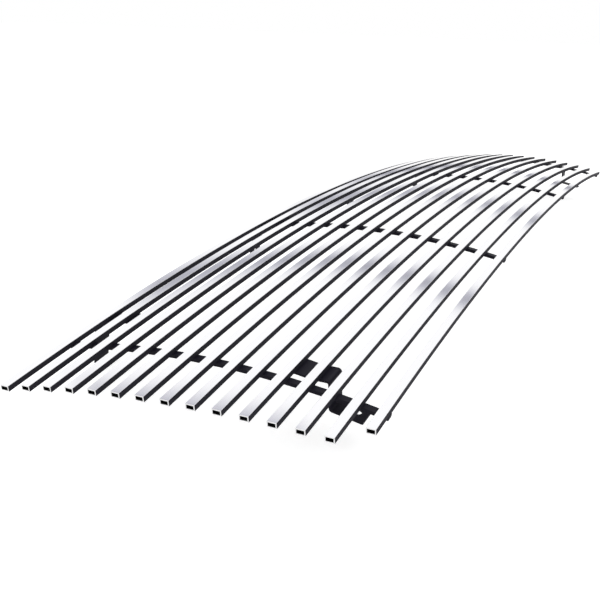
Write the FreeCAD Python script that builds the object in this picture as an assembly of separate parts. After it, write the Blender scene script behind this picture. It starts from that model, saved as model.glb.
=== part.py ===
"""Billet grille insert: fifteen bowed hollow bars on four back ribs, with six mounting brackets.

Frame of the parts: millimetres, the polished faces look up along +Z, X runs along the bars and +Y
points to the upper edge of the grille. The origin is under the middle of the grille's box, level
with the tips of its lowest brackets.

The pieces are shaped with the XY plane touching the face of bar 8 at the top of its bow, and the
last step lifts them all to the origin above. Bar 1 is at the upper edge and bar 15 at the lower.
"""
import FreeCAD, Part
import math
import os

from FreeCAD import Rotation, Vector

# --- driving dimensions, mm ---------------------------------------------------------------------
BAR_COUNT = 15
PITCH = 20.0                # from one bar to the next, across the grille
BAR_FACE = 7.8              # height of the polished face
BAR_DEPTH = 5.0             # from the face to the back of a bar
BAR_WALL = 0.9
BAR_EDGE_CHAMFER = 0.35     # along the four long edges
BOW_RADIUS = 4180.0         # bend of each bar along its length
CROWN_RADIUS = 700.0        # the set of bars is stepped back along this arc towards both edges

MIDDLE_HALF_LENGTH = 578.1  # half length of bar 8; the ends of the others follow a cubic
END_SLOPE = 0.0998          # how the half length grows towards the upper edge
END_CURVE = -0.000322       # per mm
END_TWIST = 0.000000709     # per mm squared
LAST_BAR_STEP = 20.4        # bar 15 stops this much short of that line at each end

RIB_WIDTH = 6.4
RIB_THICKNESS = 3.2
RIB_RADIUS = 739.0          # of the top of a rib, a little flatter than the crown
RIB_TOP = -4.8              # top of a rib under bar 8
RIB_OUTER_X = 510.0
RIB_INNER_X = 170.0
RIB_OVERHANG = 0.3          # rib ends stand past the edge bars by this much
SEAT_GAP = 0.02             # fit of the bars in their seats
RIB_CLEARANCE = 0.3         # between a rib and the foot beside it

SHEET = 1.8                 # thickness of the bracket sheet
BEND_RADIUS = 1.2           # inside radius of the bracket bends

LOWER_BRACKET_X = 487.4
LOWER_WIDTH = 22.2
LOWER_FOOT_BARS = (11, 12)
LOWER_WEB_Y = -88.5         # front face of the web
LOWER_LEG_Z = -34.2         # top of the slotted leg, where it meets the web
LOWER_LEG_LENGTH = 26.2
LOWER_LEG_LEAN = 0.19       # the leg falls towards the lower edge, as the crown does
LOWER_SLOT_WIDTH = 7.0
LOWER_SLOT_LENGTH = 11.0
LOWER_SLOT_MIDDLE = 15.3    # from the web to the middle of the slot

UPPER_FOOT_BARS = (1, 2)
UPPER_FOOT_END_Y = 114.0
FLANGE_LEAN = 0.19          # the flanges stand square to the crown of the bars
FLANGE_SLOT_WIDTH = 5.6
UPPER_OUTER_X = 455.0
UPPER_OUTER_WIDTH = 19.2
UPPER_OUTER_FLANGE_Y = 154.6    # the outer flanges bend down here
UPPER_OUTER_TIP_Z = -65.4
UPPER_OUTER_SLOT_Z = -52.5      # middle of the closed slot
UPPER_OUTER_SLOT_LENGTH = 12.0
UPPER_INNER_X = 150.9
UPPER_INNER_WIDTH = 21.4
UPPER_INNER_FLANGE_Y = 157.6
UPPER_INNER_TIP_Z = -60.1
UPPER_INNER_SLOT_Z = -58.5      # this slot runs out through the tip, which makes a fork
UPPER_INNER_SLOT_LENGTH = 17.0
CORNER_RADIUS = 5.0
TIP_RADIUS = 1.2

WELD_LEG = 1.5
WELD_LENGTH = 6.4

X_AXIS = Vector(1, 0, 0)
Y_AXIS = Vector(0, 1, 0)
Z_AXIS = Vector(0, 0, 1)


# --- the two curves that everything follows -----------------------------------------------------
def bar_y(number):
    """Lower edge of the face of a bar; bar 1 is at the upper edge of the grille."""
    return (8 - number) * PITCH


def crown_z(y):
    """How far a bar is stepped back, by its place across the grille."""
    return math.sqrt(CROWN_RADIUS ** 2 - y ** 2) - CROWN_RADIUS


def half_length(number):
    """Half of the bar's length, measured straight across."""
    y = bar_y(number)
    length = MIDDLE_HALF_LENGTH + END_SLOPE * y + END_CURVE * y ** 2 + END_TWIST * y ** 3
    if number == BAR_COUNT:
        length -= LAST_BAR_STEP
    return length


def bow_angle(x):
    return math.asin(x / BOW_RADIUS)


def place_on_bow(shape, x):
    """Carry a piece from the top of the bow to its station, square to the bars there."""
    moved = shape.copy()
    moved.rotate(Vector(0, 0, -BOW_RADIUS), Y_AXIS, math.degrees(bow_angle(x)))
    return moved


def seat_z(number, x):
    """Back of a bar, as met by a piece that is placed on the bow at a station.

    The bars step straight back, so square to the bow the step counts a little less.
    """
    return crown_z(bar_y(number)) * math.cos(bow_angle(x)) - BAR_DEPTH - SEAT_GAP


# --- bars ---------------------------------------------------------------------------------------
def bar(number):
    """A hollow rectangular bar, rolled to the bow and sawn square at both ends."""
    y = bar_y(number)
    z = crown_z(y)
    half_turn = math.degrees(bow_angle(half_length(number)))
    axis_point = Vector(0, 0, z - BOW_RADIUS)
    rolled = []
    for inset in (0, BAR_WALL):
        corner = Vector(0, y + inset, z - BAR_DEPTH + inset)
        section = Part.makePlane(BAR_FACE - 2 * inset, BAR_DEPTH - 2 * inset, corner, X_AXIS, Y_AXIS)
        section.rotate(axis_point, Y_AXIS, -half_turn)
        rolled.append(section.revolve(axis_point, Y_AXIS, 2 * half_turn))
    outside, hollow = rolled
    bowed_edges = [edge for edge in outside.Edges if edge.Length > PITCH]
    return outside.makeChamfer(BAR_EDGE_CHAMFER, bowed_edges).cut(hollow)


# --- ribs ---------------------------------------------------------------------------------------
def rib(x):
    """A strap bent to the crown, with a flat seat milled into it under every bar."""
    middle_y = BAR_FACE / 2
    centre = Vector(-RIB_WIDTH / 2, middle_y, RIB_TOP - RIB_RADIUS)
    reach = bar_y(1) + BAR_FACE / 2 + RIB_OVERHANG
    half_turn = math.degrees(math.asin(reach / RIB_RADIUS))
    strap = Part.Face(Part.makePolygon([
        centre + Z_AXIS * RIB_RADIUS,
        centre + X_AXIS * RIB_WIDTH + Z_AXIS * RIB_RADIUS,
        centre + X_AXIS * RIB_WIDTH + Z_AXIS * (RIB_RADIUS - RIB_THICKNESS),
        centre + Z_AXIS * (RIB_RADIUS - RIB_THICKNESS),
        centre + Z_AXIS * RIB_RADIUS,
    ]))
    strap.rotate(centre, X_AXIS, -half_turn)
    strap = strap.revolve(centre, X_AXIS, 2 * half_turn)
    seats = []
    for number in range(1, BAR_COUNT + 1):
        corner = Vector(-RIB_WIDTH, bar_y(number) - SEAT_GAP, seat_z(number, x))
        seats.append(Part.makeBox(2 * RIB_WIDTH, BAR_FACE + 2 * SEAT_GAP, BAR_DEPTH, corner))
    return place_on_bow(strap.cut(Part.makeCompound(seats)), x)


# --- bent sheet ---------------------------------------------------------------------------------
def offset_path(path, distance):
    """Move a path of (y, z) points sideways, to the left of its direction, with mitred corners."""
    moved = []
    for index, point in enumerate(path):
        sides = []
        for start, end in ((index - 1, index), (index, index + 1)):
            if start >= 0 and end < len(path):
                along = (path[end] - path[start]).normalize()
                sides.append(Vector(0, -along.z, along.y))
        mitre = (sides[0] + sides[-1]).normalize()
        moved.append(point + mitre * (distance / mitre.dot(sides[0])))
    return moved


def bent_sheet(path, bends, width):
    """Sheet of even thickness that follows a path of points; bends lists the corners with a radius.

    The path is the upper side of the sheet, from its end nearest the upper edge of the grille or
    from its foot. A bend turns down (1) or up (-1), which decides which side gets the larger radius.
    """
    other = offset_path(path, SHEET)
    outline = path + list(reversed(other))
    start = X_AXIS * (-width / 2)
    wire = Part.makePolygon([point + start for point in outline + outline[:1]])
    sheet = Part.Face(wire).extrude(X_AXIS * width)
    for index, turn in bends:
        outer, inner = (path[index], other[index]) if turn > 0 else (other[index], path[index])
        for corner, radius in ((outer, BEND_RADIUS + SHEET), (inner, BEND_RADIUS)):
            sheet = sheet.makeFillet(radius, [edge_through(sheet, corner)])
    return sheet


def edge_through(shape, point):
    """The edge of a shape whose middle is at a point."""
    return min(shape.Edges, key=lambda edge: edge.CenterOfMass.distanceToPoint(point))


def round_corners(shape, end, half_width, sides, radius):
    """Round the corners of a sheet's end, on the sides asked, given the middle of that end."""
    for side in sides:
        corner = end + X_AXIS * (side * half_width)
        shape = shape.makeFillet(radius, [edge_through(shape, corner)])
    return shape


def slot_cutter(centre, along, width, length):
    """A round-ended cutter through the sheet, long in the direction along."""
    side = X_AXIS * (width / 2)
    half = along * ((length - width) / 2)
    tip = along * (length / 2)
    normal = X_AXIS.cross(along)
    near = centre - normal * SHEET
    outline = Part.Wire([
        Part.LineSegment(near - half - side, near + half - side).toShape(),
        Part.Arc(near + half - side, near + tip, near + half + side).toShape(),
        Part.LineSegment(near + half + side, near - half + side).toShape(),
        Part.Arc(near - half + side, near - tip, near - half - side).toShape(),
    ])
    return Part.Face(outline).extrude(normal * (2 * SHEET))


def foot_path(numbers, x, start_y, end_y):
    """Upper side of a bracket's foot, pressed to lie flat under each bar it holds."""
    path = []
    for number in numbers:
        z = seat_z(number, x)
        path.append(Vector(0, bar_y(number) + BAR_FACE, z))
        path.append(Vector(0, bar_y(number), z))
    path[0].y = start_y
    path[-1].y = end_y
    return path


# --- brackets -----------------------------------------------------------------------------------
def lower_bracket(x):
    """Z bracket: a foot under bars 11 and 12, a web down, and a slotted leg to the lower edge."""
    foot_start = bar_y(LOWER_FOOT_BARS[0]) + BAR_FACE
    leg_start = Vector(0, LOWER_WEB_Y, LOWER_LEG_Z)
    outward = Vector(0, -1, -LOWER_LEG_LEAN)
    leg_end = leg_start + outward * LOWER_LEG_LENGTH
    path = foot_path(LOWER_FOOT_BARS, x, foot_start, LOWER_WEB_Y)
    web_top = len(path) - 1
    path += [leg_start, leg_end]
    bracket = bent_sheet(path, ((web_top, 1), (web_top + 1, -1)), LOWER_WIDTH)
    end_middle = offset_path(path, SHEET / 2)[-1]
    bracket = round_corners(bracket, end_middle, LOWER_WIDTH / 2, (-1, 1), TIP_RADIUS)
    slot_centre = leg_start + outward * LOWER_SLOT_MIDDLE
    slot = slot_cutter(slot_centre, outward.normalize(), LOWER_SLOT_WIDTH, LOWER_SLOT_LENGTH)
    return place_on_bow(bracket.cut(slot), x)


def flanged_foot(x, width, flange_y, tip_z, slot_z, slot_length, free_sides):
    """L bracket on the level: a foot under bars 1 and 2, then a slotted flange down behind bar 1."""
    path = foot_path(UPPER_FOOT_BARS, x, flange_y, UPPER_FOOT_END_Y)
    bend = path[0]
    down = Vector(0, FLANGE_LEAN, -1)
    path.insert(0, bend + down * (bend.z - tip_z))
    bracket = bent_sheet(path, ((1, 1),), width)
    middle_path = offset_path(path, SHEET / 2)
    bracket = round_corners(bracket, middle_path[0], width / 2, (-1, 1), TIP_RADIUS)
    bracket = round_corners(bracket, middle_path[-1], width / 2, free_sides, CORNER_RADIUS)
    slot_centre = bend + down * (bend.z - slot_z)
    slot = slot_cutter(slot_centre, down.normalize(), FLANGE_SLOT_WIDTH, slot_length)
    return bracket.cut(slot)


def upper_outer_bracket(x):
    bracket = flanged_foot(x, UPPER_OUTER_WIDTH, UPPER_OUTER_FLANGE_Y, UPPER_OUTER_TIP_Z,
                           UPPER_OUTER_SLOT_Z, UPPER_OUTER_SLOT_LENGTH, (-1, 1))
    return place_on_bow(bracket, x)


def upper_inner_bracket(x):
    """As the outer ones, with a foot that reaches outwards to the side of the inner rib."""
    outward = 1 if x > 0 else -1
    bracket = flanged_foot(x, UPPER_INNER_WIDTH, UPPER_INNER_FLANGE_Y, UPPER_INNER_TIP_Z,
                           UPPER_INNER_SLOT_Z, UPPER_INNER_SLOT_LENGTH, (-outward,))
    reach = RIB_INNER_X - RIB_WIDTH / 2 - RIB_CLEARANCE - UPPER_INNER_X - UPPER_INNER_WIDTH / 2
    foot_start = bar_y(1) + BAR_FACE
    extension = bent_sheet(foot_path(UPPER_FOOT_BARS, x, foot_start, UPPER_FOOT_END_Y), (), reach)
    extension.translate(X_AXIS * outward * (UPPER_INNER_WIDTH + reach) / 2)
    return place_on_bow(bracket.fuse(extension).removeSplitter(), x)


# --- weld beads ---------------------------------------------------------------------------------
def weld_bead(number, x, side_offset):
    """A fillet weld between the back of a bar and the side of a rib or foot, across the bar."""
    outward = math.copysign(1, side_offset)
    corner = Vector(side_offset, bar_y(number) + (BAR_FACE - WELD_LENGTH) / 2, seat_z(number, x))
    corner += X_AXIS * (outward * SEAT_GAP)
    outline = [corner, corner + X_AXIS * (outward * WELD_LEG), corner - Z_AXIS * WELD_LEG, corner]
    bead = Part.Face(Part.makePolygon(outline)).extrude(Y_AXIS * WELD_LENGTH)
    return place_on_bow(bead, x)


def rib_welds():
    """A bead at every crossing of a rib and a bar, on alternate sides down the rib."""
    beads = []
    for outward in (-1, 1):
        for x in (outward * RIB_OUTER_X, outward * RIB_INNER_X):
            for number in range(1, BAR_COUNT + 1):
                side = outward if number in UPPER_FOOT_BARS or number % 2 else -outward
                beads.append(weld_bead(number, x, side * RIB_WIDTH / 2))
    return Part.makeCompound(beads)


def bracket_welds():
    """A bead at each free side of every bracket foot, under each bar that it holds."""
    beads = []
    for outward in (-1, 1):
        for side in (-1, 1):
            for number in LOWER_FOOT_BARS:
                beads.append(weld_bead(number, outward * LOWER_BRACKET_X, side * LOWER_WIDTH / 2))
            for number in UPPER_FOOT_BARS:
                beads.append(weld_bead(number, outward * UPPER_OUTER_X, side * UPPER_OUTER_WIDTH / 2))
        for number in UPPER_FOOT_BARS:
            beads.append(weld_bead(number, outward * UPPER_INNER_X, -outward * UPPER_INNER_WIDTH / 2))
    return Part.makeCompound(beads)


# --- the whole grille ---------------------------------------------------------------------------
def build():
    pieces = {}
    for number in range(1, BAR_COUNT + 1):
        pieces["bar_%02d" % number] = bar(number)
    for name, side in (("left", -1), ("right", 1)):
        pieces["rib_%s_outer" % name] = rib(side * RIB_OUTER_X)
        pieces["rib_%s_inner" % name] = rib(side * RIB_INNER_X)
        pieces["lower_bracket_%s" % name] = lower_bracket(side * LOWER_BRACKET_X)
        pieces["upper_outer_bracket_%s" % name] = upper_outer_bracket(side * UPPER_OUTER_X)
        pieces["upper_inner_bracket_%s" % name] = upper_inner_bracket(side * UPPER_INNER_X)
    pieces["rib_welds"] = rib_welds()
    pieces["bracket_welds"] = bracket_welds()
    return pieces


def main():
    os.makedirs("parts", exist_ok=True)
    pieces = build()
    box = Part.makeCompound(list(pieces.values())).optimalBoundingBox()
    lift = Vector(-box.Center.x, -box.Center.y, -box.ZMin)
    print("overall", round(box.XLength, 1), round(box.YLength, 1), round(box.ZLength, 1))
    print("top of the bow on bar 8 is at", lift)
    for name, shape in pieces.items():
        shape.translate(lift)
        shape.exportStep("parts/%s.step" % name)
        state = "valid" if shape.isValid() else "INVALID"
        print(name, state, len(shape.Solids), "solids", round(shape.Volume), "mm3")


main()
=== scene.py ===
# %% [markdown]
# # A billet grille insert
# Fifteen bowed bars lie across four back ribs, with six brackets that fasten the grille to a car.
# The bars are the part that people see: a polished front face, black everywhere else, and bright
# saw cuts at the open ends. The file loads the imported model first, because every finished piece
# takes its place and its size from it.

import math

import bmesh
import bpy
from mathutils import Matrix, Vector


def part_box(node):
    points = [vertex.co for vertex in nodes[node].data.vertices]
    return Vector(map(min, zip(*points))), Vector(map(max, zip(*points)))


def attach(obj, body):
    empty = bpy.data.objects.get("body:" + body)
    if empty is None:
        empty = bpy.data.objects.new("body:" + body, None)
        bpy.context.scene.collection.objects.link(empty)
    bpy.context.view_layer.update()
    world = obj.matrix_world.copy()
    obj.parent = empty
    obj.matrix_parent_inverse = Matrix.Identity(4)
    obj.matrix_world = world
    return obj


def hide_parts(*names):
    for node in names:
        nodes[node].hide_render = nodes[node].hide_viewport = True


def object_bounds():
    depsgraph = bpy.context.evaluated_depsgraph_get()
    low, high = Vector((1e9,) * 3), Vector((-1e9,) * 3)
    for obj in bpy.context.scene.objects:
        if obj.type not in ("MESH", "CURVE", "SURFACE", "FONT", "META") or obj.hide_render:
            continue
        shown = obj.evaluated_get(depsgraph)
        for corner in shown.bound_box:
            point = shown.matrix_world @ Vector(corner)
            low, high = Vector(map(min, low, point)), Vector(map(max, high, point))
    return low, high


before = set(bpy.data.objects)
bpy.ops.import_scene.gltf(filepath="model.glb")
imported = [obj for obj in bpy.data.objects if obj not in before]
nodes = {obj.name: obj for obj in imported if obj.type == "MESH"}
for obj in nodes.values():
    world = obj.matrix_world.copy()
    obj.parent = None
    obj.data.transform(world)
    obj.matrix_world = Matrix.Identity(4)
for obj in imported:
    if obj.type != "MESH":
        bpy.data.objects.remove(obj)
cad_box = [list(corner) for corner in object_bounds()]
print("nodes:", len(nodes), "box:", cad_box)

# %% [markdown]
# ## The driving sizes
# The bars are a stock section, so a few sizes describe them all. The bow and the place of each bar
# are measured on the loaded model, so that the finished bars land on the solids.

# %% Sizes of the section
BAR_COUNT = 15
BAR_FACE = 0.0078
BAR_DEPTH = 0.0050
BAR_WALL = 0.0009
EDGE_RADIUS = 0.00025
END_MARGIN = 0.0002     # points this close to the tip of a bar belong to its end

bar_names = ["bar_%02d" % number for number in range(1, BAR_COUNT + 1)]
middle_bar = bar_names[BAR_COUNT // 2]

# %% Radius of the bow
def bow_radius_of(name):
    """Radius of the bow from its half length and its rise, both taken on the front face."""
    low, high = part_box(name)
    half = (high.x - low.x) / 2
    end_face = max(v.co.z for v in nodes[name].data.vertices if v.co.x > high.x - END_MARGIN)
    rise = high.z - end_face
    return (half ** 2 + rise ** 2) / (2 * rise)


bow_radius = bow_radius_of(middle_bar)
print("bow radius: %.3f m" % bow_radius)

# %% [markdown]
# ## Helpers for node trees
# Materials and geometry trees are both graphs, so one small helper adds a node, sets its plain
# values and joins its inputs. A value that is a socket is linked, and any other value is written
# on the socket itself.

# %% Node helpers
def feed(tree, socket, value):
    """Link a socket to another one, or write a plain value on it."""
    if isinstance(value, bpy.types.NodeSocket):
        tree.links.new(value, socket)
    else:
        socket.default_value = value


def add_node(tree, kind, inputs=None, **settings):
    node = tree.nodes.new(kind)
    for key, value in settings.items():
        setattr(node, key, value)
    for key, value in (inputs or {}).items():
        feed(tree, node.inputs[key], value)
    return node


def math_node(tree, operation, *values, clamp=False):
    node = add_node(tree, "ShaderNodeMath", operation=operation, use_clamp=clamp)
    for index, value in enumerate(values):
        feed(tree, node.inputs[index], value)
    return node.outputs[0]


def mix_colour(tree, factor, first, second):
    """The mix node holds sockets for every type, and those for colours are numbers 6 and 7."""
    node = add_node(tree, "ShaderNodeMix", {0: factor, 6: first, 7: second}, data_type="RGBA")
    return node.outputs[2]


# %% Helpers for groups and materials
def new_group(name, inputs, outputs):
    """A shader node group; inputs are (name, type, default), outputs are (name, type)."""
    group = bpy.data.node_groups.new(name, "ShaderNodeTree")
    for label, kind, value in inputs:
        socket = group.interface.new_socket(label, in_out="INPUT", socket_type=kind)
        socket.default_value = value
    for label, kind in outputs:
        group.interface.new_socket(label, in_out="OUTPUT", socket_type=kind)
    return group, group.nodes.new("NodeGroupInput"), group.nodes.new("NodeGroupOutput")


def group_node(tree, group, inputs):
    node = tree.nodes.new("ShaderNodeGroup")
    node.node_tree = group
    for key, value in inputs.items():
        feed(tree, node.inputs[key], value)
    return node.outputs


def new_material(name):
    """A material with its tree, its shader and the place on the object that patterns follow."""
    material = bpy.data.materials.new(name)
    material.use_nodes = True
    tree = material.node_tree
    place = add_node(tree, "ShaderNodeTexCoord").outputs["Object"]
    return material, tree, tree.nodes["Principled BSDF"], place


def add_bump(tree, shader, height, strength, distance):
    bump = add_node(tree, "ShaderNodeBump", {"Strength": strength, "Distance": distance, "Height": height})
    tree.links.new(bump.outputs[0], shader.inputs["Normal"])


# %% [markdown]
# ## Effects that several finishes share
# Polishing and sawing both leave lines that run one way, and paint has a fine orange peel. Each is
# a node group, so a finish only says how long, how wide and how strong its marks are. Noise that is
# squeezed along one axis draws the lines, which costs less than modelling them and keeps its scale
# when the piece is seen close up.

# %% Group: drawn lines
def drawn_lines_group():
    group, ins, outs = new_group(
        "drawn_lines",
        [("Place", "NodeSocketVector", (0, 0, 0)), ("Across", "NodeSocketFloat", 900.0),
         ("Along", "NodeSocketFloat", 6.0), ("Detail", "NodeSocketFloat", 4.0)],
        [("Lines", "NodeSocketFloat"), ("Patches", "NodeSocketFloat")])
    squeeze = add_node(group, "ShaderNodeCombineXYZ", {
        "X": ins.outputs["Along"], "Y": ins.outputs["Across"], "Z": ins.outputs["Across"]})
    stretched = add_node(group, "ShaderNodeVectorMath", {
        0: ins.outputs["Place"], 1: squeeze.outputs[0]}, operation="MULTIPLY")
    lines = add_node(group, "ShaderNodeTexNoise", {
        "Vector": stretched.outputs[0], "Scale": 1.0, "Detail": ins.outputs["Detail"], "Roughness": 0.6})
    patches = add_node(group, "ShaderNodeTexNoise", {
        "Vector": ins.outputs["Place"], "Scale": 14.0, "Detail": 3.0})
    group.links.new(lines.outputs["Fac"], outs.inputs["Lines"])
    group.links.new(patches.outputs["Fac"], outs.inputs["Patches"])
    return group


drawn_lines = drawn_lines_group()
print("group:", drawn_lines.name)

# %% Group: paint skin
def paint_skin_group():
    group, ins, outs = new_group(
        "paint_skin",
        [("Place", "NodeSocketVector", (0, 0, 0)), ("Peel", "NodeSocketFloat", 900.0),
         ("Dust", "NodeSocketFloat", 60.0)],
        [("Height", "NodeSocketFloat"), ("Mottle", "NodeSocketFloat")])
    peel = add_node(group, "ShaderNodeTexNoise", {
        "Vector": ins.outputs["Place"], "Scale": ins.outputs["Peel"], "Detail": 2.0, "Roughness": 0.45})
    mottle = add_node(group, "ShaderNodeTexNoise", {
        "Vector": ins.outputs["Place"], "Scale": ins.outputs["Dust"], "Detail": 4.0, "Roughness": 0.6})
    group.links.new(peel.outputs["Fac"], outs.inputs["Height"])
    group.links.new(mottle.outputs["Fac"], outs.inputs["Mottle"])
    return group


paint_skin = paint_skin_group()
print("group:", paint_skin.name)

# %% [markdown]
# ## The polished face
# The front of each bar is buffed along its length until it mirrors whatever is above it. A metal
# shader with a low roughness does that, and the faint lines of the buffing wheel go into the
# roughness and a very small bump, so the reflections stay clear and only their edges soften.

# %% Finish: polished face
def make_polished_face():
    material, tree, shader, place = new_material("polished_face")
    marks = group_node(tree, drawn_lines, {"Place": place, "Across": 1500.0, "Along": 5.0})
    haze = math_node(tree, "MULTIPLY_ADD", marks["Lines"], 0.05, 0.015)
    haze = math_node(tree, "MULTIPLY_ADD", marks["Patches"], 0.03, haze)
    colour = mix_colour(tree, marks["Patches"], (0.925, 0.925, 0.945, 1), (0.96, 0.96, 0.975, 1))
    tree.links.new(haze, shader.inputs["Roughness"])
    tree.links.new(colour, shader.inputs["Base Color"])
    shader.inputs["Metallic"].default_value = 1.0
    add_bump(tree, shader, marks["Lines"], 0.03, 0.0001)
    return material


polished_face = make_polished_face()

# %% [markdown]
# ## The saw cuts
# The cuts come last of all, so they show bare metal with the marks of the blade. The lines are as
# short as they are wide here, which leaves a fine grain, and the grain makes the roughness uneven.

# %% Finish: saw cut
def make_saw_cut():
    material, tree, shader, place = new_material("saw_cut")
    marks = group_node(tree, drawn_lines, {"Place": place, "Across": 2200.0, "Along": 2200.0})
    colour = mix_colour(tree, marks["Lines"], (0.70, 0.70, 0.71, 1), (0.93, 0.93, 0.93, 1))
    rough = math_node(tree, "MULTIPLY_ADD", marks["Lines"], 0.25, 0.25)
    tree.links.new(colour, shader.inputs["Base Color"])
    tree.links.new(rough, shader.inputs["Roughness"])
    shader.inputs["Metallic"].default_value = 1.0
    add_bump(tree, shader, marks["Lines"], 0.3, 0.0001)
    return material


saw_cut = make_saw_cut()

# %% [markdown]
# ## The blacks
# The bars are coated black before the face is polished, so the other three sides keep a thin satin
# coat. The hollow is coated too, but its tones are set far darker than the coat's: painted shade
# for the little light that gets in. The back parts are bent from steel strip and painted in one go
# after welding, with a paint that is a little glossier and has a fine orange peel. All three are
# the same skin with other numbers, so one helper makes them.

# %% Finishes: coat, hollow with painted shade, and paint
def make_black(name, peel, dust, tones, smoothest, spread, shine):
    """Peel and dust are the scales of the skin; the roughness starts at smoothest and varies by spread."""
    material, tree, shader, place = new_material(name)
    skin = group_node(tree, paint_skin, {"Place": place, "Peel": peel, "Dust": dust})
    colour = mix_colour(tree, skin["Mottle"], *tones)
    rough = math_node(tree, "MULTIPLY_ADD", skin["Mottle"], spread, smoothest)
    tree.links.new(colour, shader.inputs["Base Color"])
    tree.links.new(rough, shader.inputs["Roughness"])
    shader.inputs["Specular IOR Level"].default_value = shine
    return material, tree, shader, skin["Height"]


def make_black_coat():
    tones = (0.0180, 0.0172, 0.0240, 1), (0.0250, 0.0240, 0.0330, 1)
    material, tree, shader, height = make_black("black_coat", 1400.0, 45.0, tones, 0.50, 0.16, shine=0.06)
    add_bump(tree, shader, height, 0.15, 0.00005)
    return material


def make_black_paint():
    tones = (0.0060, 0.0052, 0.0110, 1), (0.0100, 0.0088, 0.0170, 1)
    material, tree, shader, height = make_black(
        "black_paint_finish", 1100.0, 70.0, tones, 0.40, 0.20, shine=0.12)
    add_bump(tree, shader, height, 0.25, 0.00008)
    return material


# Painted shade: the hollow gets the coat's skin in far darker tones, for the shade inside the tube.
hollow_painted_shade_tones = (0.002, 0.002, 0.002, 1), (0.006, 0.006, 0.007, 1)
hollow_coat_painted_shade = make_black("hollow_coat_painted_shade", 700.0, 80.0, hollow_painted_shade_tones, 0.7, 0.2, shine=0.1)[0]
black_coat = make_black_coat()
black_paint = make_black_paint()
print("bar finishes:", polished_face.name, black_coat.name, saw_cut.name, hollow_coat_painted_shade.name)

# %% Paint the ribs and brackets
# Their solids already have the right shape, so they only get the paint in their slots.
painted_names = [name for name in nodes if not name.startswith("bar_")]
for name in painted_names:
    for slot in nodes[name].material_slots:
        slot.material = black_paint
print("painted pieces:", len(painted_names))

# %% [markdown]
# ## Growing a bar from its section
# All bars share one section, and only their length and place differ, which makes them a good job
# for Geometry Nodes. The tree sweeps a straight bar, closes its two ends with a flat ring and then
# bends it: a point at a distance along the bar turns by that distance over the bow radius. Bending
# last keeps the saw cuts square to the bar, as they are on a bar that is rolled before it is cut.

# %% Helpers for geometry trees
MERGE_DISTANCE = 0.000001


def new_geometry_tree(name, inputs):
    tree = bpy.data.node_groups.new(name, "GeometryNodeTree")
    tree.interface.new_socket("Start", in_out="INPUT", socket_type="NodeSocketGeometry")
    for label, kind, value in inputs:
        socket = tree.interface.new_socket(label, in_out="INPUT", socket_type=kind)
        if value is not None:
            socket.default_value = value
    tree.interface.new_socket("Geometry", in_out="OUTPUT", socket_type="NodeSocketGeometry")
    return tree, tree.nodes.new("NodeGroupInput").outputs, tree.nodes.new("NodeGroupOutput").inputs


def geometry_node(tree, kind, inputs, **settings):
    """Add a node and give its first output, which is the geometry or value that the next one needs."""
    return add_node(tree, kind, inputs, **settings).outputs[0]


def combine(tree, **axes):
    return geometry_node(tree, "ShaderNodeCombineXYZ", axes)


def separate(tree, vector):
    return add_node(tree, "ShaderNodeSeparateXYZ", {"Vector": vector}).outputs


def join(tree, *parts):
    node = tree.nodes.new("GeometryNodeJoinGeometry")
    for part in parts:
        tree.links.new(part, node.inputs[0])
    return node.outputs[0]


# %% The section of the stock
EDGE_STEPS = 4          # flats that round each long edge
INNER_EDGE_SHARE = 0.6  # radius inside the bar, as a share of the one outside


def section_curve(tree, face, depth, radius, centre):
    """A rectangle with rounded corners, drawn in the plane that the sweep turns onto the bar."""
    rectangle = geometry_node(tree, "GeometryNodeCurvePrimitiveQuadrilateral", {
        "Width": face, "Height": depth})
    rounded = geometry_node(tree, "GeometryNodeFilletCurve", {
        "Curve": rectangle, "Radius": radius, "Count": EDGE_STEPS, "Limit Radius": True}, mode="POLY")
    return geometry_node(tree, "GeometryNodeTransform", {"Geometry": rounded, "Translation": centre})


def sections(tree, given):
    """The outline of the bar and the outline of its hollow, with the lower front edge at the origin."""
    centre = combine(tree, X=math_node(tree, "MULTIPLY", given["Face"], -0.5),
                     Y=math_node(tree, "MULTIPLY", given["Depth"], 0.5))
    inner_face = math_node(tree, "MULTIPLY_ADD", given["Wall"], -2.0, given["Face"])
    inner_depth = math_node(tree, "MULTIPLY_ADD", given["Wall"], -2.0, given["Depth"])
    inner_radius = math_node(tree, "MULTIPLY", given["Edge Radius"], INNER_EDGE_SHARE)
    return (section_curve(tree, given["Face"], given["Depth"], given["Edge Radius"], centre),
            section_curve(tree, inner_face, inner_depth, inner_radius, centre))


# %% Sweep the straight bar
ZONE_OUTSIDE, ZONE_CUT, ZONE_HOLLOW = 0, 1, 2
SECTION_TO_BAR = Matrix(((0, 0, 1), (-1, 0, 0), (0, -1, 0))).to_euler()


def zone(tree, geometry, number):
    """Marks the faces of a part, so that its finish can be given at the end."""
    return geometry_node(tree, "GeometryNodeStoreNamedAttribute", {
        "Geometry": geometry, "Name": "zone", "Value": number}, data_type="INT", domain="FACE")


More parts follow.
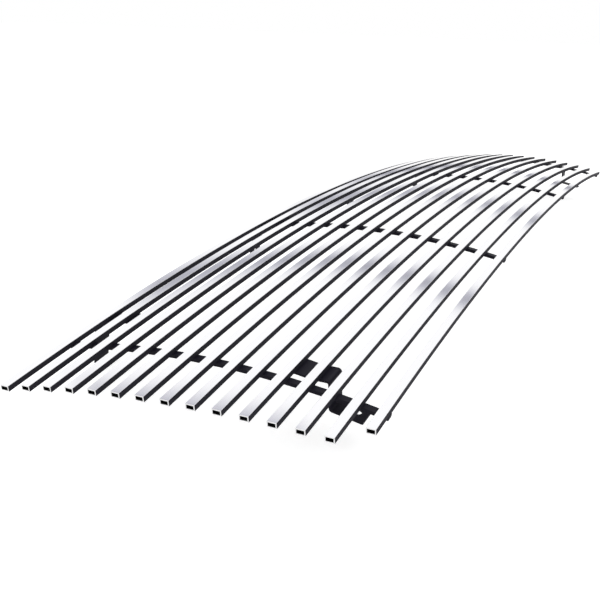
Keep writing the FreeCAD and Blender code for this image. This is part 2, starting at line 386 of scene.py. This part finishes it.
def straight_bar(tree, given):
    """Outside, hollow and the two ring-shaped saw cuts, joined into one closed skin."""
    outer, inner = sections(tree, given)
    reach = math_node(tree, "MULTIPLY", given["Half Angle"], given["Bow Radius"])
    start = combine(tree, X=math_node(tree, "MULTIPLY", reach, -1.0))
    end = combine(tree, X=reach)
    line = geometry_node(tree, "GeometryNodeCurvePrimitiveLine", {"Start": start, "End": end})
    stepped = geometry_node(tree, "GeometryNodeResampleCurve", {"Curve": line, "Count": given["Steps"]})
    upright = geometry_node(tree, "GeometryNodeSetCurveNormal", {"Curve": stepped}, mode="Z_UP")
    outside = geometry_node(tree, "GeometryNodeCurveToMesh", {"Curve": upright, "Profile Curve": outer})
    hollow = geometry_node(tree, "GeometryNodeCurveToMesh", {"Curve": upright, "Profile Curve": inner})
    hollow = geometry_node(tree, "GeometryNodeFlipFaces", {"Mesh": hollow})

    ring = geometry_node(tree, "GeometryNodeFillCurve", {"Curve": join(tree, outer, inner)})
    far_ring, near_ring = (
        geometry_node(tree, "GeometryNodeTransform", {
            "Geometry": ring, "Translation": tip, "Rotation": SECTION_TO_BAR})
        for tip in (end, start))
    near_ring = geometry_node(tree, "GeometryNodeFlipFaces", {"Mesh": near_ring})
    whole = join(tree, zone(tree, outside, ZONE_OUTSIDE), zone(tree, hollow, ZONE_HOLLOW),
                 zone(tree, far_ring, ZONE_CUT), zone(tree, near_ring, ZONE_CUT))
    return geometry_node(tree, "GeometryNodeMergeByDistance", {"Geometry": whole, "Distance": MERGE_DISTANCE})


# %% Bend it to the bow
CRISP_ANGLE = math.radians(5)   # edges that turn more than this stay crisp


def bend(tree, given, bar):
    here = separate(tree, geometry_node(tree, "GeometryNodeInputPosition", {}))
    turn = math_node(tree, "DIVIDE", here["X"], given["Bow Radius"])
    arm = math_node(tree, "ADD", here["Z"], given["Bow Radius"])
    drop = math_node(tree, "MULTIPLY", arm, math_node(tree, "COSINE", turn))
    bent = combine(tree, X=math_node(tree, "MULTIPLY", arm, math_node(tree, "SINE", turn)), Y=here["Y"],
                   Z=math_node(tree, "SUBTRACT", drop, given["Bow Radius"]))
    return geometry_node(tree, "GeometryNodeSetPosition", {
        "Geometry": bar, "Position": bent, "Offset": given["Place"]})


def shade(tree, bar):
    """Smooth along the bow, with a crisp line wherever faces meet at more than a few degrees, so the small
    flats of the rounded edges stay crisp too.
    """
    edge_angle = geometry_node(tree, "GeometryNodeInputMeshEdgeAngle", {})
    corner = geometry_node(tree, "FunctionNodeCompare", {0: edge_angle, 1: CRISP_ANGLE},
                           data_type="FLOAT", operation="GREATER_THAN")
    smooth = geometry_node(tree, "GeometryNodeSetShadeSmooth", {
        "Geometry": bar, "Shade Smooth": True}, domain="FACE")
    return geometry_node(tree, "GeometryNodeSetShadeSmooth", {
        "Geometry": smooth, "Selection": corner, "Shade Smooth": False}, domain="EDGE")


# %% Give each part its finish
FACING_FRONT = 0.8      # the upward share of a normal, above which a side is the polished face
SAME_ZONE = 0.1         # zones are whole numbers, so this is near enough


def finished(tree, given, bar):
    marked = geometry_node(tree, "GeometryNodeInputNamedAttribute", {"Name": "zone"}, data_type="INT")
    outside, cut, hollow = (math_node(tree, "COMPARE", marked, float(number), SAME_ZONE)
                            for number in (ZONE_OUTSIDE, ZONE_CUT, ZONE_HOLLOW))
    facing = separate(tree, geometry_node(tree, "GeometryNodeInputNormal", {}))
    upward = math_node(tree, "GREATER_THAN", facing["Z"], FACING_FRONT)
    front = math_node(tree, "MULTIPLY", outside, upward)
    bar = geometry_node(tree, "GeometryNodeSetMaterial", {"Geometry": bar, "Material": given["Side Finish"]})
    # The hollow's material is the black coat with painted shade inside the tube.
    for label, chosen in (("Face Finish", front), ("Cut Finish", cut), ("Hollow Coat Painted Shade", hollow)):
        bar = geometry_node(tree, "GeometryNodeSetMaterial", {
            "Geometry": bar, "Material": given[label], "Selection": chosen})
    return bar


# %% Geometry tree: bar
def make_bar_tree():
    tree, given, result = new_geometry_tree("bar_of_stock", [
        ("Half Angle", "NodeSocketFloat", 0.1), ("Bow Radius", "NodeSocketFloat", 4.0),
        ("Face", "NodeSocketFloat", 0.008), ("Depth", "NodeSocketFloat", 0.005),
        ("Wall", "NodeSocketFloat", 0.001), ("Edge Radius", "NodeSocketFloat", 0.0004),
        ("Steps", "NodeSocketInt", 96), ("Place", "NodeSocketVector", (0, 0, 0)),
        ("Face Finish", "NodeSocketMaterial", None), ("Side Finish", "NodeSocketMaterial", None),
        ("Cut Finish", "NodeSocketMaterial", None), ("Hollow Coat Painted Shade", "NodeSocketMaterial", None)])
    bar = shade(tree, bend(tree, given, straight_bar(tree, given)))
    real = geometry_node(tree, "GeometryNodeRealizeInstances", {"Geometry": bar})
    tree.links.new(finished(tree, given, real), result["Geometry"])
    return tree


bar_tree = make_bar_tree()
print("tree:", bar_tree.name, len(bar_tree.nodes), "nodes")

# %% [markdown]
# ## From tree to plain mesh
# A tree only runs on an object, so a helper puts it on one that is empty, or that holds the points
# to start from. It writes the inputs by their identifiers and keeps the result as a plain mesh. The
# finished object sits at the origin, with its place in its mesh, and nothing live is left on it.

# %% Helper: grow a piece
def grow(tree, name, values, start=None):
    maker = bpy.data.objects.new("maker", start or bpy.data.meshes.new("maker"))
    bpy.context.scene.collection.objects.link(maker)
    modifier = maker.modifiers.new("tree", "NODES")
    modifier.node_group = tree
    for item in tree.interface.items_tree:
        if item.in_out == "INPUT" and item.name in values:
            modifier[item.identifier] = values[item.name]
    evaluated = maker.evaluated_get(bpy.context.evaluated_depsgraph_get())
    mesh = bpy.data.meshes.new_from_object(evaluated)
    mesh.name = name
    while mesh.materials[0] is None:        # an empty slot comes first and no face uses it
        mesh.materials.pop(index=0)
    bpy.data.objects.remove(maker)
    piece = bpy.data.objects.new(name, mesh)
    bpy.context.scene.collection.objects.link(piece)
    return piece


# %% [markdown]
# ## The fifteen bars
# Each bar takes its half length, the height of its bow and its place from the solid that it
# stands for.

# %% Grow the bars
BAR_STEPS = 97          # stations along a bar, which keep its bow smooth in the mirror of its face

for name in bar_names:
    low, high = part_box(name)
    bar = grow(bar_tree, name + "_finished", {
        "Half Angle": math.asin(high.x / bow_radius), "Bow Radius": bow_radius,
        "Face": BAR_FACE, "Depth": BAR_DEPTH, "Wall": BAR_WALL, "Edge Radius": EDGE_RADIUS,
        "Steps": BAR_STEPS, "Place": (0.0, low.y, high.z),
        "Face Finish": polished_face, "Side Finish": black_coat,
        "Cut Finish": saw_cut, "Hollow Coat Painted Shade": hollow_coat_painted_shade})
    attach(bar, "root")
    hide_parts(name)
print("each bar has", len(bar.data.polygons), "faces and", len(bar.data.materials), "finishes")

# %% [markdown]
# ## The weld beads
# A bead is the same small shape wherever it is laid: a fillet with the ripples of the torch, which
# closes to nothing at both ends. It starts as a flat grid. One side of the grid runs round the
# fillet and the other along the bead, and the first and last columns fold back into the corner that
# the bead fills, which closes it.

# %% Shape of a bead
BEAD_LEG = 0.0015
BEAD_LENGTH = 0.0064
BEAD_COLUMNS = 10
BEAD_ROWS = 37
BEAD_MERGE = 0.000002
FULLNESS = -0.6         # 0 gives a quarter of a circle, -1 a flat fillet
END_ROUNDING = 6.0      # higher powers give blunter ends
RIPPLE_COUNT = 9.0
RIPPLE_DEPTH = 0.12     # share of the radius
RIPPLE_LAG = 2.4        # how far the ripples trail at the toes of the bead


def round_the_bead(tree, across):
    """Each column's share of the way round, its angle, and 0 for the two that lie in the corner."""
    widened = math_node(tree, "MULTIPLY", across, (BEAD_COLUMNS - 1) / (BEAD_COLUMNS - 3))
    swept = math_node(tree, "MINIMUM", math_node(tree, "MAXIMUM", widened, -0.5), 0.5)
    edge_column = 0.5 - 0.1 / (BEAD_COLUMNS - 1)
    on_skin = math_node(tree, "LESS_THAN", math_node(tree, "ABSOLUTE", across), edge_column)
    return swept, math_node(tree, "MULTIPLY_ADD", swept, math.pi / 2, math.pi / 4), on_skin


def bead_radius(tree, given, swept, along, spread, on_skin):
    """Distance from the corner to the skin of the bead, with its ripples and its closed ends."""
    bulge = math_node(tree, "POWER", spread, FULLNESS)
    lag = math_node(tree, "MULTIPLY", math_node(tree, "MULTIPLY", swept, swept), RIPPLE_LAG)
    wave = math_node(tree, "MULTIPLY_ADD", along, given["Ripples"], lag)
    wave = math_node(tree, "SQRT", math_node(tree, "FRACT", wave))
    ripple = math_node(tree, "MULTIPLY_ADD", wave, RIPPLE_DEPTH, 1.0 - RIPPLE_DEPTH)
    near_end = math_node(tree, "ABSOLUTE", math_node(tree, "MULTIPLY", along, 2.0))
    near_end = math_node(tree, "POWER", near_end, END_ROUNDING)
    closing = math_node(tree, "SQRT", math_node(tree, "SUBTRACT", 1.0, near_end, clamp=True))
    reach = math_node(tree, "MULTIPLY", math_node(tree, "MULTIPLY", closing, on_skin), given["Leg"])
    return math_node(tree, "MULTIPLY", math_node(tree, "MULTIPLY", bulge, ripple), reach)


def one_bead(tree, given):
    sheet = geometry_node(tree, "GeometryNodeMeshGrid", {
        "Size X": 1.0, "Size Y": 1.0, "Vertices X": BEAD_COLUMNS, "Vertices Y": BEAD_ROWS})
    flat = separate(tree, geometry_node(tree, "GeometryNodeInputPosition", {}))
    swept, angle, on_skin = round_the_bead(tree, flat["X"])
    across, down = math_node(tree, "COSINE", angle), math_node(tree, "SINE", angle)
    spread = math_node(tree, "ADD", across, down)
    radius = bead_radius(tree, given, swept, flat["Y"], spread, on_skin)
    shaped = combine(
        tree, X=math_node(tree, "MULTIPLY", radius, across),
        Y=math_node(tree, "MULTIPLY", flat["Y"], given["Length"]),
        Z=math_node(tree, "MULTIPLY", math_node(tree, "MULTIPLY", radius, down), -1.0))
    bead = geometry_node(tree, "GeometryNodeSetPosition", {"Geometry": sheet, "Position": shaped})
    return geometry_node(tree, "GeometryNodeMergeByDistance", {"Geometry": bead, "Distance": BEAD_MERGE})


# %% [markdown]
# ## Laying the beads
# The tree then puts its bead on every point of a mesh, turned as the point says. A slight difference
# in size from bead to bead, with a fixed seed, keeps them from looking stamped.

# %% Geometry tree: beads
SMALLEST_BEAD = (0.86, 0.90, 0.86)      # of the full size, in each direction
BEAD_SEED = 4


def make_bead_tree():
    tree, given, result = new_geometry_tree("weld_beads", [
        ("Leg", "NodeSocketFloat", 0.0015), ("Length", "NodeSocketFloat", 0.0064),
        ("Ripples", "NodeSocketFloat", 9.0), ("Seed", "NodeSocketInt", 4),
        ("Finish", "NodeSocketMaterial", None)])
    turn = geometry_node(tree, "GeometryNodeInputNamedAttribute", {"Name": "turn"}, data_type="FLOAT_VECTOR")
    size = geometry_node(tree, "FunctionNodeRandomValue", {
        0: SMALLEST_BEAD, 1: (1.0, 1.0, 1.0), "Seed": given["Seed"]}, data_type="FLOAT_VECTOR")
    copies = geometry_node(tree, "GeometryNodeInstanceOnPoints", {
        "Points": given["Start"], "Instance": one_bead(tree, given), "Scale": size,
        "Rotation": geometry_node(tree, "FunctionNodeEulerToRotation", {"Euler": turn})})
    real = geometry_node(tree, "GeometryNodeRealizeInstances", {"Geometry": copies})
    painted = geometry_node(tree, "GeometryNodeSetMaterial", {"Geometry": real, "Material": given["Finish"]})
    smooth = geometry_node(tree, "GeometryNodeSetShadeSmooth", {"Geometry": painted, "Shade Smooth": True})
    tree.links.new(smooth, result["Geometry"])
    return tree


bead_tree = make_bead_tree()
print("tree:", bead_tree.name, len(bead_tree.nodes), "nodes")

# %% [markdown]
# ## Points for the beads
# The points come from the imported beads, where each bead is an island of loose triangles. The lowest
# corner of the island gives the place along the bar, the side on which the rest of the island lies
# tells which way the bead faces, and the bow gives its tilt.

# %% Find the islands
def islands(mesh):
    """Vertex places of each separate piece of a mesh, once its loose triangles are merged."""
    shape = bmesh.new()
    shape.from_mesh(mesh)
    bmesh.ops.remove_doubles(shape, verts=shape.verts, dist=MERGE_DISTANCE)
    waiting = set(shape.verts)
    found = []
    while waiting:
        group, front = set(), [waiting.pop()]
        while front:
            vertex = front.pop()
            group.add(vertex)
            for edge in vertex.link_edges:
                other = edge.other_vert(vertex)
                if other in waiting:
                    waiting.remove(other)
                    front.append(other)
        found.append([vertex.co.copy() for vertex in group])
    shape.free()
    return sorted(found, key=lambda points: tuple(round(value, 4) for value in min(points)))


# %% Turn them into points
def bead_points(name):
    """A mesh with one point for each packed bead, and the turn of the bead on each point."""
    places, turns = [], []
    for points in islands(nodes[name].data):
        foot = min(points, key=lambda point: point.z)
        middle_x, middle_y = ((min(side) + max(side)) / 2 for side in list(zip(*points))[:2])
        tilt = math.asin(foot.x / bow_radius)
        top = max(point.z for point in points)
        places.append((foot.x + math.sin(tilt) * BEAD_LEG, middle_y, top))
        turns += (0.0, tilt, 0.0) if middle_x > foot.x else (0.0, -tilt, math.pi)
    mesh = bpy.data.meshes.new(name + "_points")
    mesh.from_pydata(places, [], [])
    mesh.attributes.new("turn", "FLOAT_VECTOR", "POINT").data.foreach_set("vector", turns)
    return mesh


# %% Lay the beads
for name in ("rib_welds", "bracket_welds"):
    beads = grow(bead_tree, name + "_finished", {
        "Leg": BEAD_LEG, "Length": BEAD_LENGTH, "Ripples": RIPPLE_COUNT, "Seed": BEAD_SEED,
        "Finish": black_paint}, start=bead_points(name))
    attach(beads, "root")
    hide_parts(name)
    print(name, "has", len(beads.data.polygons), "faces")

# %% [markdown]
# ## The floor
# A pale matt floor catches the soft shadow of the grille. It glows a little for the camera, so that
# it runs into the white behind it without more light falling on the metal.

# %% Floor
FLOOR_HALF = 6.0
FLOOR_GLOW_SEEN = 0.62          # as the camera sees it
FLOOR_GLOW_MIRRORED = 0.32      # as polished metal sees it


def floor_material():
    material, tree, shader, _ = new_material("pale_floor")
    shader.inputs["Base Color"].default_value = (0.80, 0.80, 0.80, 1)
    shader.inputs["Roughness"].default_value = 1.0
    shader.inputs["Specular IOR Level"].default_value = 0.0
    shader.inputs["Emission Color"].default_value = (1, 1, 1, 1)
    seen = add_node(tree, "ShaderNodeLightPath").outputs
    mirrored = math_node(tree, "MULTIPLY", seen["Is Glossy Ray"], FLOOR_GLOW_MIRRORED)
    glow = math_node(tree, "MULTIPLY_ADD", seen["Is Camera Ray"], FLOOR_GLOW_SEEN, mirrored)
    tree.links.new(glow, shader.inputs["Emission Strength"])
    return material


def make_floor():
    mesh = bpy.data.meshes.new("floor")
    corners = [(x * FLOOR_HALF, y * FLOOR_HALF, 0) for x, y in ((-1, -1), (1, -1), (1, 1), (-1, 1))]
    mesh.from_pydata(corners, [], [(0, 1, 2, 3)])
    mesh.materials.append(floor_material())
    floor = bpy.data.objects.new("floor", mesh)
    bpy.context.scene.collection.objects.link(floor)
    return floor


make_floor()

# %% [markdown]
# ## The studio tent
# Polished metal only shows its surroundings. Here they are a white tent that is lit from one side,
# with four soft dark seams where its panels meet, and they give the mirror faces their grey bands.
# Each seam sags like hung cloth. It is a line over the azimuth, in degrees, and a bell curve across
# that line takes some of the light away. The tent only looks like this in a mirror: the matt
# surfaces get one even light from it, and the camera sees plain white.

# %% The seams
# Low and azimuth place the middle of a seam, and the seam rises by sag at its reach to either side.
# Tilt is its slope, width is the half width of the bell, and depth is the share of light it takes.
SEAMS = (
    {"low": 24.05, "azimuth": 26.0, "reach": 11.5, "sag": 2.8, "tilt": 0.0, "width": 1.38, "depth": 0.55},
    {"low": 12.0, "azimuth": 16.4, "reach": 8.0, "sag": 3.0, "tilt": 0.0, "width": 1.35, "depth": 0.53},
    {"low": 3.55, "azimuth": 12.6, "reach": 8.0, "sag": 4.8, "tilt": 0.0, "width": 0.70, "depth": 0.70},
    {"low": 40.4, "azimuth": 38.3, "reach": 7.5, "sag": 0.0, "tilt": -0.325, "width": 2.1, "depth": 0.68},
)
SEAM_FADE = 1.3                     # a seam is gone at this many times its reach
SEAM_TINT = (0.78, 0.78, 1.0, 1)    # cloth in its own shade looks a little blue
WHITE = (1, 1, 1, 1)


def seam_shade(tree, elevation, azimuth, seam):
    """One minus a soft dark line along a seam, which fades out beyond its reach."""
    aside = math_node(tree, "SUBTRACT", azimuth, math.radians(seam["azimuth"]))
    share = math_node(tree, "DIVIDE", aside, math.radians(seam["reach"]))
    squared = math_node(tree, "MULTIPLY", share, share)
    height = math_node(tree, "MULTIPLY_ADD", aside, seam["tilt"], math.radians(seam["low"]))
    height = math_node(tree, "MULTIPLY_ADD", squared, math.radians(seam["sag"]), height)
    above = math_node(tree, "SUBTRACT", elevation, height)
    offset = math_node(tree, "DIVIDE", above, math.radians(seam["width"]))
    spread = math_node(tree, "MULTIPLY", offset, offset)
    bell = math_node(tree, "EXPONENT", math_node(tree, "MULTIPLY", spread, -1.0))
    left = math_node(tree, "SUBTRACT", SEAM_FADE, math_node(tree, "ABSOLUTE", share), clamp=True)
    fading = math_node(tree, "DIVIDE", left, SEAM_FADE - 1.0, clamp=True)
    return math_node(tree, "MULTIPLY_ADD", math_node(tree, "MULTIPLY", bell, fading), -seam["depth"], 1.0)


# %% The lit side
BRIGHT_SIDE = (0.866, 0.408, 0.289)     # unit direction to the middle of the lit side
FAR_SIDE_LIGHT = 0.62                   # what is left of the light on the other sides
FAR_SIDE_FROM = 0.15                    # cosines of the angle from the lit side, between which
LIT_SIDE_TO = 0.72                      # the light grows


def side_light(tree, direction):
    toward = add_node(tree, "ShaderNodeVectorMath", {0: direction, 1: BRIGHT_SIDE}, operation="DOT_PRODUCT")
    lit = add_node(tree, "ShaderNodeMapRange", {
        "Value": toward.outputs["Value"], "From Min": FAR_SIDE_FROM, "From Max": LIT_SIDE_TO,
        "To Min": FAR_SIDE_LIGHT}, interpolation_type="SMOOTHSTEP")
    return lit.outputs[0]


# %% World
TENT_PLAIN = 0.80       # how strongly the tent lights the matt surfaces
TENT_MIRRORED = 1.04    # how bright its lit side looks in a mirror


def make_world():
    world = bpy.data.worlds.new("studio_tent")
    world.use_nodes = True
    tree = world.node_tree
    tree.nodes.clear()
    direction = add_node(tree, "ShaderNodeTexCoord").outputs["Generated"]
    parts = add_node(tree, "ShaderNodeSeparateXYZ", {"Vector": direction}).outputs
    elevation = math_node(tree, "ARCSINE", parts["Z"])
    azimuth = math_node(tree, "ARCTAN2", parts["Y"], parts["X"])
    light = side_light(tree, direction)
    for seam in SEAMS:
        light = math_node(tree, "MULTIPLY", seam_shade(tree, elevation, azimuth, seam), light)

    seen = add_node(tree, "ShaderNodeLightPath").outputs
    mirrored = math_node(tree, "SUBTRACT", math_node(tree, "MULTIPLY", light, TENT_MIRRORED), TENT_PLAIN)
    strength = math_node(tree, "MULTIPLY_ADD", seen["Is Glossy Ray"], mirrored, TENT_PLAIN)
    strength = math_node(tree, "MAXIMUM", strength, seen["Is Camera Ray"])
    tint = mix_colour(tree, math_node(tree, "SUBTRACT", 1.0, light), WHITE, SEAM_TINT)
    colour = mix_colour(tree, seen["Is Glossy Ray"], WHITE, tint)
    background = add_node(tree, "ShaderNodeBackground", {"Color": colour, "Strength": strength})
    output = add_node(tree, "ShaderNodeOutputWorld")
    tree.links.new(background.outputs[0], output.inputs[0])
    bpy.context.scene.world = world


make_world()
print("world:", bpy.context.scene.world.name, "with", len(SEAMS), "seams")

# %% [markdown]
# ## Lamp and camera
# One large lamp overhead gives the shadow its direction. It is hidden from the mirrors, because the
# tent already fills them. The camera stands near one end, low over the bars, and its place is
# measured from the middle bar.

# %% Lamp
LAMP_WIDTH, LAMP_DEPTH = 3.0, 2.0
LAMP_POWER = 18.0
LAMP_OFFSET = Vector((0.2, -0.6, 2.2))      # from the middle of the grille

middle = (Vector(cad_box[0]) + Vector(cad_box[1])) / 2
lamp_data = bpy.data.lights.new("overhead", "AREA")
lamp_data.shape = "RECTANGLE"
lamp_data.size, lamp_data.size_y = LAMP_WIDTH, LAMP_DEPTH
lamp_data.energy = LAMP_POWER
lamp = bpy.data.objects.new("overhead", lamp_data)
lamp.location = middle + LAMP_OFFSET
lamp.rotation_euler = (middle - lamp.location).to_track_quat("-Z", "Y").to_euler()
lamp.visible_glossy = False
bpy.context.scene.collection.objects.link(lamp)
print("lamp at", [round(value, 3) for value in lamp.location])

# %% Camera
CAMERA_OFFSET = Vector((-1.0429, -0.3211, 0.2314))  # from the lower edge of the middle bar's bow
CAMERA_TURN = math.radians(25.363)      # from the run of the bars
CAMERA_DROP = math.radians(19.239)      # below the horizon
CAMERA_ROLL = math.radians(1.117)
CAMERA_LENS = 52.61
CAMERA_SENSOR = 36.0
CAMERA_NEAR = 0.01

camera_data = bpy.data.cameras.new("camera")
camera_data.lens = CAMERA_LENS
camera_data.sensor_width = CAMERA_SENSOR
camera_data.clip_start = CAMERA_NEAR
camera = bpy.data.objects.new("camera", camera_data)
ahead = math.cos(CAMERA_DROP)
forward = Vector((ahead * math.cos(CAMERA_TURN), ahead * math.sin(CAMERA_TURN), -math.sin(CAMERA_DROP)))
level = forward.to_track_quat("-Z", "Y").to_matrix().to_4x4()
middle_low, middle_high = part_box(middle_bar)
eye = Vector((0.0, middle_low.y, middle_high.z)) + CAMERA_OFFSET
camera.matrix_world = Matrix.Translation(eye) @ level @ Matrix.Rotation(CAMERA_ROLL, 4, "Z")
bpy.context.scene.collection.objects.link(camera)
bpy.context.scene.camera = camera
bpy.context.scene.view_settings.view_transform = "Standard"
print("camera at", [round(value, 3) for value in camera.location])
